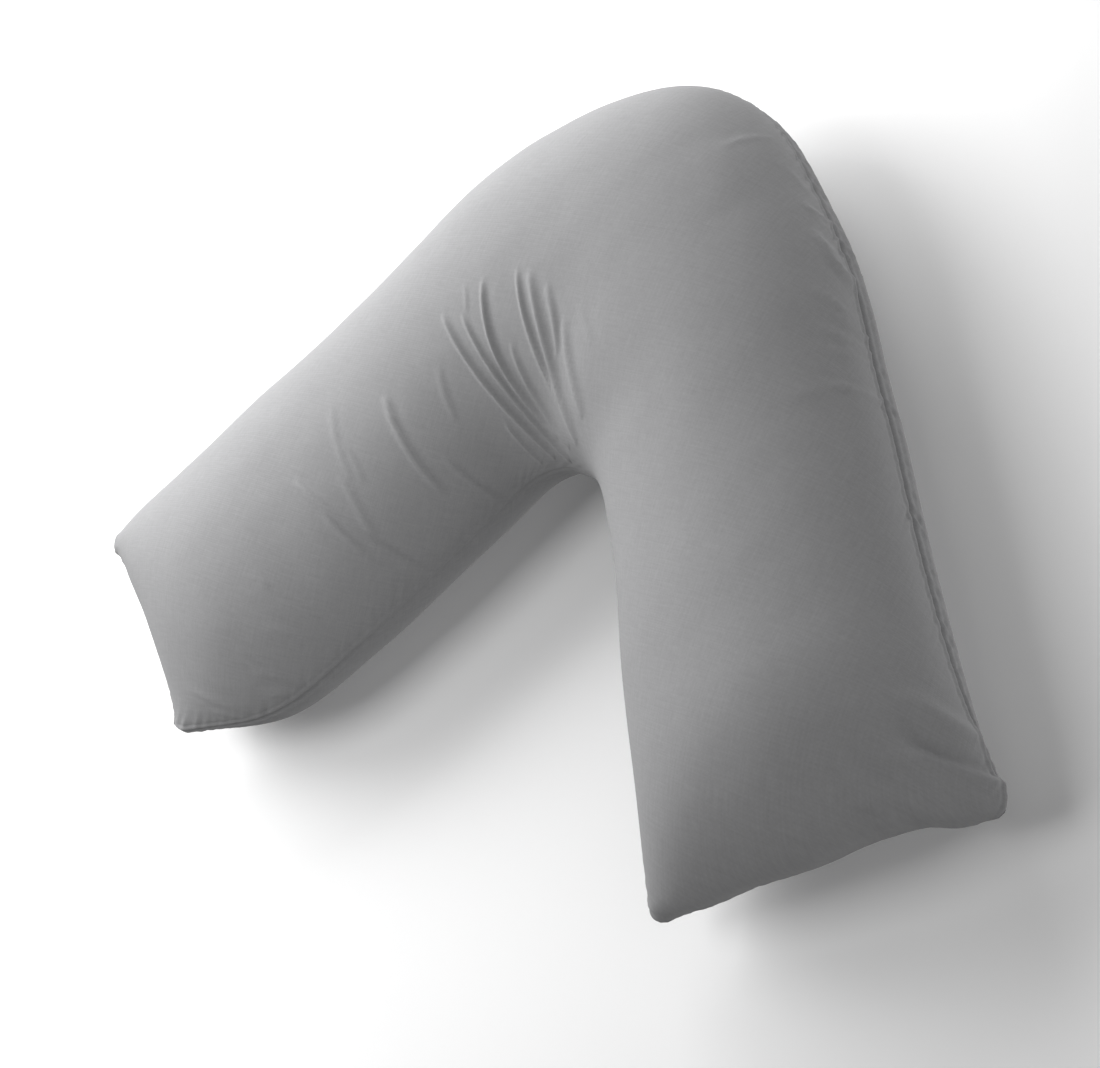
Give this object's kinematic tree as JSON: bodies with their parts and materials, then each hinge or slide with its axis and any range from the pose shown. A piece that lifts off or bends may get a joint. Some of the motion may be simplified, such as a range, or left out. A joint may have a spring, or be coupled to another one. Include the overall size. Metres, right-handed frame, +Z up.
{
  "type": "v shaped pillow",
  "caption": "V shaped filled pillow of plain grey woven cloth, two plump arms joined at a rounded bend, lying on its back as a support for back, neck or arms.",
  "frame": {"origin": "on the surface it lies on, under the middle of its bounding box", "axes": "+Z up out of the crowned face, +Y towards the point of the V, +X towards the right arm as seen from the face"},
  "size_m": [1.0508, 0.7284, 0.19],
  "materials": {
    "cloth": "matte plain woven cotton"
  },
  "bodies": {
    "root": {"v_pillow": "cloth"}
  },
  "joints": []
}
